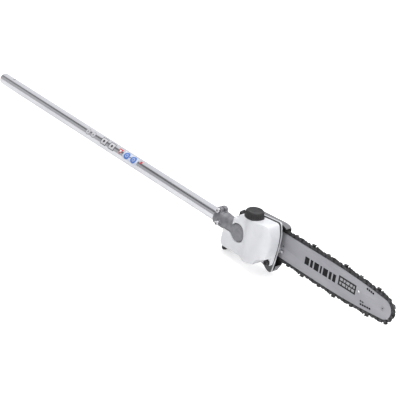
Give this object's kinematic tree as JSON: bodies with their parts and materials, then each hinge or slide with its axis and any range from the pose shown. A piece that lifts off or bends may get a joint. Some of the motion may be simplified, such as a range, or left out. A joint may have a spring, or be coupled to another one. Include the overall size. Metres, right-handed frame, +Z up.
{
  "type": "pole saw attachment",
  "caption": "Pole pruner head on a straight aluminium tube: bevel gearcase, side oil tank with screw cap, sprocket cover, guide bar and saw chain.",
  "frame": {"origin": "centre of the tube's free end, on the tube's axis", "axes": "+X along the tube towards the nose of the guide bar, +Z up through the oil cap, +Y towards the chain and its cover"},
  "size_m": [1.1079, 0.064, 0.1135],
  "materials": {
    "tube_aluminium": "drawn, satin",
    "cast_metal": "die cast, silver-grey paint",
    "plate_metal": "die cast, machined edges",
    "bright_steel": "zinc plated",
    "dark_steel": "oiled",
    "chain_steel": "blued and oiled",
    "bar_metal": "grey paint, bare rails",
    "cover_metal": "grey paint outside, black inside",
    "tank_plastic": "translucent white, blow moulded",
    "black_plastic": "moulded",
    "black_rubber": "moulded",
    "filter_plastic": "porous",
    "bronze": "machined"
  },
  "bodies": {
    "root": {"outer_tube": "tube_aluminium", "shaft_bushing_1": "black_rubber", "shaft_bushing_2": "black_rubber", "shaft_bushing_3": "black_rubber", "shaft_bushing_4": "black_rubber", "gearcase": "cast_metal", "clamp_screw": "bright_steel", "clamp_nut": "bright_steel", "locating_screw": "bright_steel", "pinion_bearing_1": "bright_steel", "pinion_bearing_2": "bright_steel", "pinion_circlip": "dark_steel", "output_bearing_1": "bright_steel", "output_bearing_2": "bright_steel", "bearing_circlip": "dark_steel", "pump_cylinder": "bronze", "backing_plate": "plate_metal", "plate_screw_1": "bright_steel", "plate_screw_2": "bright_steel", "plate_screw_3": "bright_steel", "plate_screw_4": "bright_steel", "bar_stud": "bright_steel", "bar_guide_pin": "bright_steel", "bar_nut": "bright_steel", "sprocket_cover": "cover_metal", "oil_tank": "tank_plastic", "tank_grommet_1": "black_rubber", "tank_grommet_2": "black_rubber", "tank_grommet_3": "black_rubber", "tank_screw_1": "black_plastic", "tank_screw_2": "black_plastic", "tank_screw_3": "black_plastic", "oil_hose": "black_rubber", "oil_filter": "filter_plastic"},
    "drive_line": {"drive_shaft": "bright_steel", "bevel_pinion": "bright_steel"},
    "output": {"bevel_gear": "bright_steel", "output_shaft": "bright_steel", "drive_sprocket": "dark_steel", "sprocket_washer": "bright_steel", "sprocket_clip": "dark_steel", "pump_worm": "bronze"},
    "pump": {"pump_plunger": "bright_steel"},
    "bar": {"guide_bar": "bar_metal", "saw_chain": "chain_steel", "nose_rivet": "bright_steel", "adjuster_block": "bright_steel"},
    "nose": {"nose_sprocket": "dark_steel"},
    "adjuster": {"adjuster_screw": "bright_steel"},
    "cap_seal": {"cap_gasket": "black_rubber"},
    "cap": {"oil_cap": "black_plastic"}
  },
  "joints": [
    {"name": "shaft_spin", "type": "hinge", "parent": "root", "child": "drive_line", "pos_m": [0, 0, 0], "axis": [1, 0, 0], "continuous": true},
    {"name": "sprocket_spin", "type": "hinge", "parent": "root", "child": "output", "pos_m": [0.767, 0, 0], "axis": [0, 1, 0], "continuous": true},
    {"name": "pump_spin", "type": "hinge", "parent": "root", "child": "pump", "pos_m": [0.7767, 0.0008, 0], "axis": [0, 0, 1], "continuous": true},
    {"name": "bar_adjust", "type": "slide", "parent": "root", "child": "bar", "axis": [1, 0, 0], "range_m": [-0.006, 0]},
    {"name": "adjuster_turn", "type": "hinge", "parent": "root", "child": "adjuster", "pos_m": [0.845, 0.0172, -0.004], "axis": [1, 0, 0], "range_deg": [0, 3086]},
    {"name": "nose_spin", "type": "hinge", "parent": "bar", "child": "nose", "pos_m": [1.08046, 0.022, 0.0062], "axis": [0, 1, 0], "continuous": true},
    {"name": "cap_lift", "type": "slide", "parent": "root", "child": "cap_seal", "axis": [0, 0, 1], "range_m": [0, 0.006]},
    {"name": "cap_turn", "type": "hinge", "parent": "cap_seal", "child": "cap", "pos_m": [0.796, -0.008, 0.05], "axis": [0, 0, 1], "range_deg": [0, 720.1]}
  ],
  "couplings": [
    {"joint": "sprocket_spin", "follows": "shaft_spin", "ratio": -0.66667},
    {"joint": "pump_spin", "follows": "shaft_spin", "ratio": -0.066667},
    {"joint": "nose_spin", "follows": "shaft_spin", "ratio": -0.57143},
    {"joint": "adjuster_turn", "follows": "bar_adjust", "rad_per_m": -8976},
    {"joint": "cap_turn", "follows": "cap_lift", "rad_per_m": 2094.4}
  ]
}
